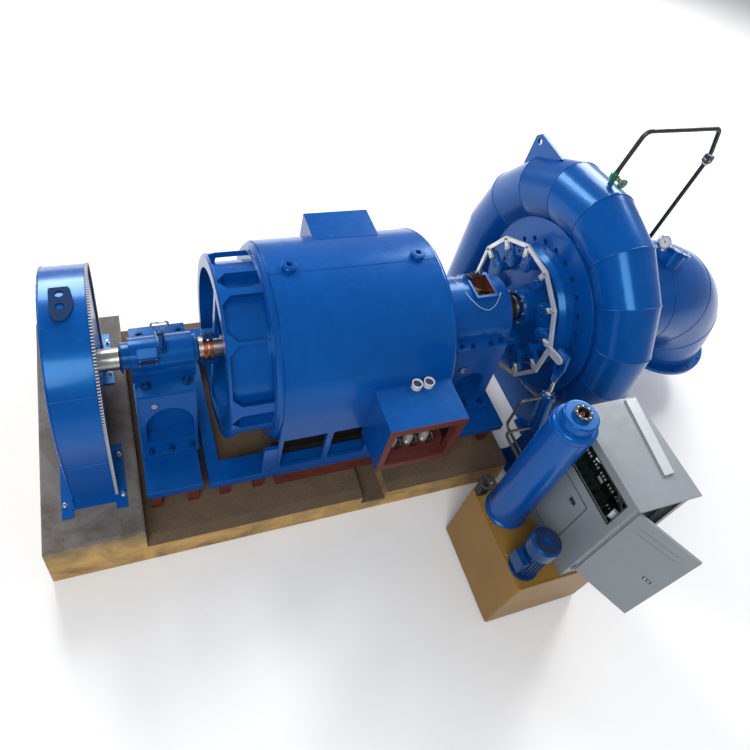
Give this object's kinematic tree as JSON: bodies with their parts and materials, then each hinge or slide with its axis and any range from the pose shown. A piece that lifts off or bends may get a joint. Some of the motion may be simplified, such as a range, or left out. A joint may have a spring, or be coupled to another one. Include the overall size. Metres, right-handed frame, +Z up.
{
  "type": "hydroelectric generator",
  "caption": "Horizontal hydroelectric generating set: turbine with spiral case and vane linkage, generator, flywheel in a guard, and governor unit.",
  "frame": {"origin": "floor level under the middle of the generator, on the shaft's vertical plane", "axes": "+X along the shaft from flywheel to turbine, -Y the operator's side, +Z up"},
  "size_m": [6.022, 3.6735, 2.6764],
  "materials": {
    "concrete": "cast concrete, trowelled",
    "blue_enamel": "gloss enamel",
    "red_oxide": "red oxide primer",
    "flywheel_iron": "painted cast iron",
    "bright_steel": "turned steel",
    "rotor_steel": "insulating varnish",
    "copper": "turned copper",
    "porcelain": "glazed",
    "white_plastic": "moulded",
    "chrome_rod": "hard chrome",
    "green_paint": "gloss paint",
    "black_pipe": "black paint",
    "gauge_white": "white dial",
    "tan_paint": "satin paint",
    "black_iron": "black paint",
    "grey_paint": "powder coat",
    "oil_line_steel": "drawn tube",
    "electronics": "racks and boards"
  },
  "bodies": {
    "stationary": {"accumulator": "blue_enamel", "air_hood": "blue_enamel", "base_frame": "blue_enamel", "brush_gear": "blue_enamel", "bypass_pipe": "black_pipe", "cabinet": "grey_paint", "cabinet_gear": "electronics", "conduit_sleeves": "white_plastic", "de_cap": "blue_enamel", "de_pedestal": "blue_enamel", "de_shield": "blue_enamel", "door_hinges": "grey_paint", "draft_elbow": "blue_enamel", "draft_saddle": "blue_enamel", "flywheel_block": "concrete", "flywheel_guard": "blue_enamel", "generator_shell": "blue_enamel", "guard_screen": "blue_enamel", "head_cover": "blue_enamel", "inlet_pipe": "blue_enamel", "lifting_bosses": "blue_enamel", "machine_bed": "concrete", "nde_cap": "blue_enamel", "nde_drum": "blue_enamel", "nde_pedestal": "blue_enamel", "oil_lines": "oil_line_steel", "oil_tank": "tan_paint", "pressure_gauge": "gauge_white", "pump_motor": "blue_enamel", "servo_cylinder": "blue_enamel", "servo_stand": "blue_enamel", "sole_plates": "red_oxide", "spiral_case": "blue_enamel", "terminal_box": "blue_enamel", "terminal_frame": "red_oxide", "terminal_posts": "porcelain", "turbine_feet": "blue_enamel", "valve_block": "black_iron", "vent_valve": "green_paint"},
    "rotor": {"main_shaft": "bright_steel", "flywheel": "flywheel_iron", "generator_rotor": "rotor_steel", "slip_rings": "copper"},
    "gate_ring": {"link_ring": "bright_steel"},
    "piston_rod": {"servo_rod": "chrome_rod", "servo_clevis": "blue_enamel"},
    "door_leaf": {"cabinet_door": "grey_paint"},
    "vane_01": {"lever_01": "blue_enamel"},
    "vane_02": {"lever_02": "blue_enamel"},
    "vane_03": {"lever_03": "blue_enamel"},
    "vane_04": {"lever_04": "blue_enamel"},
    "vane_05": {"lever_05": "blue_enamel"},
    "vane_06": {"lever_06": "blue_enamel"},
    "vane_07": {"lever_07": "blue_enamel"},
    "vane_08": {"lever_08": "blue_enamel"},
    "vane_09": {"lever_09": "blue_enamel"},
    "vane_10": {"lever_10": "blue_enamel"},
    "vane_11": {"lever_11": "blue_enamel"},
    "vane_12": {"lever_12": "blue_enamel"}
  },
  "joints": [
    {"name": "shaft_spin", "type": "hinge", "parent": "stationary", "child": "rotor", "pos_m": [0, 0, 1.097], "axis": [1, 0, 0], "continuous": true},
    {"name": "gate_ring_turn", "type": "hinge", "parent": "stationary", "child": "gate_ring", "pos_m": [1.49, 0, 1.097], "axis": [1, 0, 0], "range_deg": [-2.5, 2.5]},
    {"name": "piston_stroke", "type": "slide", "parent": "stationary", "child": "piston_rod", "axis": [0, 0.225, 0.9744], "range_m": [-0.031, 0.031]},
    {"name": "vane_01_turn", "type": "hinge", "parent": "stationary", "child": "vane_01", "pos_m": [1.518, 0.36512, 1.19483], "axis": [1, 0, 0], "range_deg": [-11.8, 11.8]},
    {"name": "vane_02_turn", "type": "hinge", "parent": "stationary", "child": "vane_02", "pos_m": [1.518, 0.26729, 1.36429], "axis": [1, 0, 0], "range_deg": [-11.8, 11.8]},
    {"name": "vane_03_turn", "type": "hinge", "parent": "stationary", "child": "vane_03", "pos_m": [1.518, 0.09783, 1.46212], "axis": [1, 0, 0], "range_deg": [-11.8, 11.8]},
    {"name": "vane_04_turn", "type": "hinge", "parent": "stationary", "child": "vane_04", "pos_m": [1.518, -0.09783, 1.46212], "axis": [1, 0, 0], "range_deg": [-11.8, 11.8]},
    {"name": "vane_05_turn", "type": "hinge", "parent": "stationary", "child": "vane_05", "pos_m": [1.518, -0.26729, 1.36429], "axis": [1, 0, 0], "range_deg": [-11.8, 11.8]},
    {"name": "vane_06_turn", "type": "hinge", "parent": "stationary", "child": "vane_06", "pos_m": [1.518, -0.36512, 1.19483], "axis": [1, 0, 0], "range_deg": [-11.8, 11.8]},
    {"name": "vane_07_turn", "type": "hinge", "parent": "stationary", "child": "vane_07", "pos_m": [1.518, -0.36512, 0.99917], "axis": [1, 0, 0], "range_deg": [-11.8, 11.8]},
    {"name": "vane_08_turn", "type": "hinge", "parent": "stationary", "child": "vane_08", "pos_m": [1.518, -0.26729, 0.82971], "axis": [1, 0, 0], "range_deg": [-11.8, 11.8]},
    {"name": "vane_09_turn", "type": "hinge", "parent": "stationary", "child": "vane_09", "pos_m": [1.518, -0.09783, 0.73188], "axis": [1, 0, 0], "range_deg": [-11.8, 11.8]},
    {"name": "vane_10_turn", "type": "hinge", "parent": "stationary", "child": "vane_10", "pos_m": [1.518, 0.09783, 0.73188], "axis": [1, 0, 0], "range_deg": [-11.8, 11.8]},
    {"name": "vane_11_turn", "type": "hinge", "parent": "stationary", "child": "vane_11", "pos_m": [1.518, 0.26729, 0.82971], "axis": [1, 0, 0], "range_deg": [-11.8, 11.8]},
    {"name": "vane_12_turn", "type": "hinge", "parent": "stationary", "child": "vane_12", "pos_m": [1.518, 0.36512, 0.99917], "axis": [1, 0, 0], "range_deg": [-11.8, 11.8]},
    {"name": "cabinet_door_swing", "type": "hinge", "parent": "stationary", "child": "door_leaf", "pos_m": [1.042, -1.974, 1.2725], "axis": [0, 0, 1], "range_deg": [-35, 61]}
  ],
  "couplings": [
    {"joint": "piston_stroke", "follows": "gate_ring_turn", "m_per_rad": -0.688},
    {"joint": "vane_01_turn", "follows": "gate_ring_turn", "ratio": 4.68},
    {"joint": "vane_02_turn", "follows": "gate_ring_turn", "ratio": 4.68},
    {"joint": "vane_03_turn", "follows": "gate_ring_turn", "ratio": 4.68},
    {"joint": "vane_04_turn", "follows": "gate_ring_turn", "ratio": 4.68},
    {"joint": "vane_05_turn", "follows": "gate_ring_turn", "ratio": 4.68},
    {"joint": "vane_06_turn", "follows": "gate_ring_turn", "ratio": 4.68},
    {"joint": "vane_07_turn", "follows": "gate_ring_turn", "ratio": 4.68},
    {"joint": "vane_08_turn", "follows": "gate_ring_turn", "ratio": 4.68},
    {"joint": "vane_09_turn", "follows": "gate_ring_turn", "ratio": 4.68},
    {"joint": "vane_10_turn", "follows": "gate_ring_turn", "ratio": 4.68},
    {"joint": "vane_11_turn", "follows": "gate_ring_turn", "ratio": 4.68},
    {"joint": "vane_12_turn", "follows": "gate_ring_turn", "ratio": 4.68}
  ]
}
